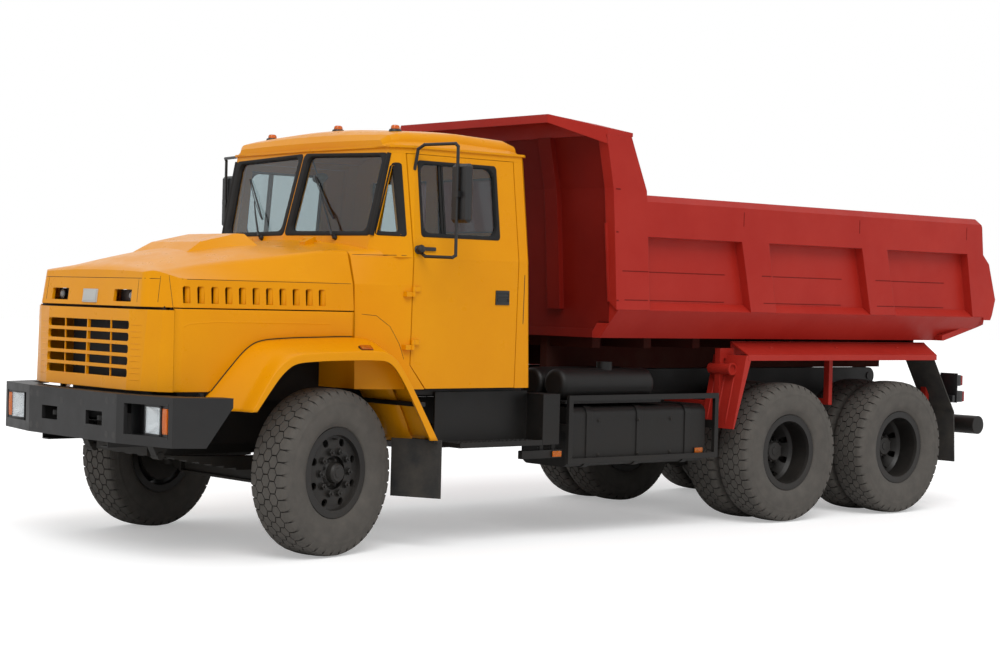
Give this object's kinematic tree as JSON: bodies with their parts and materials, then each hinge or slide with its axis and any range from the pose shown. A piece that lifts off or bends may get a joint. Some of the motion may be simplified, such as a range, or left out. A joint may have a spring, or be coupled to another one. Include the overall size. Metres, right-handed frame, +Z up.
{
  "type": "bonneted tipping dump truck",
  "caption": "Bonneted dump truck with tipping steel bed, telescopic hoist, opening hood and doors, and steered front wheels.",
  "frame": {"origin": "on the ground, under the middle of the overall length and width", "axes": "+X forward, +Y to the truck's left, +Z up"},
  "size_m": [8.385, 3, 3.0848],
  "materials": {
    "frame_black": "satin black paint, dusty",
    "cast_steel": "black painted casting",
    "radiator_black": "matte black",
    "bumper_grey": "satin dark grey paint",
    "cab_yellow": "gloss enamel",
    "cab_floor_black": "matte mat",
    "window_glass": "clear, slightly grey",
    "seat_vinyl": "dark vinyl",
    "interior_plastic": "matte grain",
    "mirror_black": "satin black",
    "lamp_plastic": "moulded lenses on black housings",
    "bed_red": "satin enamel, weld lines, scratches",
    "bed_black": "dark paint",
    "flap_rubber": "dusty rubber",
    "rim_black": "satin black paint",
    "tyre_rubber": "worn dusty rubber",
    "hoist_black": "satin black",
    "hoist_steel": "hard chrome"
  },
  "bodies": {
    "chassis": {"chassis_frame": "frame_black", "bed_subframe": "frame_black", "front_axle": "cast_steel", "drive_axles": "cast_steel", "leaf_springs": "frame_black", "engine_block": "cast_steel", "drive_train": "frame_black", "front_bumper": "bumper_grey", "nose_grille": "cab_yellow", "radiator": "radiator_black", "front_fenders": "cab_yellow", "cab_front": "cab_yellow", "cab_back": "cab_yellow", "cab_roof": "cab_yellow", "cab_floor": "cab_floor_black", "cab_glass": "window_glass", "cab_seats": "seat_vinyl", "dashboard": "interior_plastic", "lamps": "lamp_plastic", "steps": "frame_black", "fuel_tanks": "frame_black", "air_reservoirs": "frame_black", "rear_fenders": "bed_red", "mud_flaps": "flap_rubber", "underrun_bar": "frame_black"},
    "hood": {"hood": "cab_yellow"},
    "door_left": {"door_left": "cab_yellow", "door_glass_left": "window_glass", "mirror_left": "mirror_black"},
    "door_right": {"door_right": "cab_yellow", "door_glass_right": "window_glass", "mirror_right": "mirror_black"},
    "knuckle_left": {"knuckle_left": "cast_steel"},
    "knuckle_right": {"knuckle_right": "cast_steel"},
    "tie_rod": {"tie_rod": "frame_black"},
    "front_wheel_left": {"front_wheel_left": "rim_black", "front_tyre_left": "tyre_rubber"},
    "front_wheel_right": {"front_wheel_right": "rim_black", "front_tyre_right": "tyre_rubber"},
    "middle_wheels_left": {"middle_wheels_left": "rim_black", "middle_tyres_left": "tyre_rubber"},
    "middle_wheels_right": {"middle_wheels_right": "rim_black", "middle_tyres_right": "tyre_rubber"},
    "rear_wheels_left": {"rear_wheels_left": "rim_black", "rear_tyres_left": "tyre_rubber"},
    "rear_wheels_right": {"rear_wheels_right": "rim_black", "rear_tyres_right": "tyre_rubber"},
    "bed": {"bed_floor": "bed_red", "bed_side_left": "bed_red", "bed_side_right": "bed_red", "bed_front_wall": "bed_red", "bed_visor": "bed_red", "bed_underframe": "bed_black"},
    "hoist_barrels": {"hoist_barrels": "hoist_black"},
    "hoist_stage_1": {"hoist_stage_1": "hoist_steel"},
    "hoist_stage_2": {"hoist_stage_2": "hoist_steel"},
    "hoist_stage_3": {"hoist_stage_3": "hoist_steel"},
    "hoist_stage_4": {"hoist_stage_4": "hoist_steel"}
  },
  "joints": [
    {"name": "bed_tip", "type": "hinge", "parent": "chassis", "child": "bed", "pos_m": [-3.4875, 0, 1.12], "axis": [0, -1, 0], "range_deg": [0, 60]},
    {"name": "hoist_tilt", "type": "hinge", "parent": "chassis", "child": "hoist_barrels", "pos_m": [-0.9675, 0, 0.85], "axis": [0, -1, 0], "range_deg": [0, 30]},
    {"name": "hoist_slide_1", "type": "slide", "parent": "hoist_barrels", "child": "hoist_stage_1", "axis": [0.0059, 0, 1], "range_m": [0, 0.6138]},
    {"name": "hoist_slide_2", "type": "slide", "parent": "hoist_stage_1", "child": "hoist_stage_2", "axis": [0.0059, 0, 1], "range_m": [0, 0.6138]},
    {"name": "hoist_slide_3", "type": "slide", "parent": "hoist_stage_2", "child": "hoist_stage_3", "axis": [0.0059, 0, 1], "range_m": [0, 0.6138]},
    {"name": "hoist_slide_4", "type": "slide", "parent": "hoist_stage_3", "child": "hoist_stage_4", "axis": [0.0059, 0, 1], "range_m": [0, 0.6138]},
    {"name": "hood_lift", "type": "hinge", "parent": "chassis", "child": "hood", "pos_m": [2.6155, 0, 2.108], "axis": [0, -1, 0], "range_deg": [0, 50]},
    {"name": "door_left_swing", "type": "hinge", "parent": "chassis", "child": "door_left", "pos_m": [2.2425, 1.129, 1.6], "axis": [0, 0, -1], "range_deg": [0, 65]},
    {"name": "door_right_swing", "type": "hinge", "parent": "chassis", "child": "door_right", "pos_m": [2.2425, -1.129, 1.6], "axis": [0, 0, 1], "range_deg": [0, 65]},
    {"name": "steer_left", "type": "hinge", "parent": "chassis", "child": "knuckle_left", "pos_m": [2.9325, 0.82, 0.555], "axis": [0, 0, 1], "range_deg": [-48.4, 21.6]},
    {"name": "steer_right", "type": "hinge", "parent": "chassis", "child": "knuckle_right", "pos_m": [2.9325, -0.82, 0.555], "axis": [0, 0, 1], "range_deg": [-48.4, 21.6]},
    {"name": "tie_rod_swing", "type": "hinge", "parent": "knuckle_left", "child": "tie_rod", "pos_m": [2.72822, 0.77133, 0.42], "axis": [0, 0, 1], "range_deg": [-21.6, 48.4]},
    {"name": "front_spin_left", "type": "hinge", "parent": "knuckle_left", "child": "front_wheel_left", "pos_m": [2.9325, 0.82, 0.555], "axis": [-0.2317, 0.9728, 0], "continuous": true},
    {"name": "front_spin_right", "type": "hinge", "parent": "knuckle_right", "child": "front_wheel_right", "pos_m": [2.9325, -0.82, 0.555], "axis": [-0.2317, 0.9728, 0], "continuous": true},
    {"name": "middle_spin_left", "type": "hinge", "parent": "chassis", "child": "middle_wheels_left", "pos_m": [-1.5375, 0.919, 0.555], "axis": [0, 1, 0], "continuous": true},
    {"name": "middle_spin_right", "type": "hinge", "parent": "chassis", "child": "middle_wheels_right", "pos_m": [-1.5375, -0.919, 0.555], "axis": [0, 1, 0], "continuous": true},
    {"name": "rear_spin_left", "type": "hinge", "parent": "chassis", "child": "rear_wheels_left", "pos_m": [-2.9375, 0.919, 0.555], "axis": [0, 1, 0], "continuous": true},
    {"name": "rear_spin_right", "type": "hinge", "parent": "chassis", "child": "rear_wheels_right", "pos_m": [-2.9375, -0.919, 0.555], "axis": [0, 1, 0], "continuous": true}
  ],
  "couplings": [
    {"joint": "hoist_tilt", "follows": "bed_tip", "ratio": 0.5},
    {"joint": "hoist_slide_1", "follows": "bed_tip", "m_per_rad": 0.58567},
    {"joint": "hoist_slide_2", "follows": "bed_tip", "m_per_rad": 0.58567},
    {"joint": "hoist_slide_3", "follows": "bed_tip", "m_per_rad": 0.58567},
    {"joint": "hoist_slide_4", "follows": "bed_tip", "m_per_rad": 0.58567},
    {"joint": "steer_right", "follows": "steer_left", "ratio": 1},
    {"joint": "tie_rod_swing", "follows": "steer_left", "ratio": -1}
  ]
}
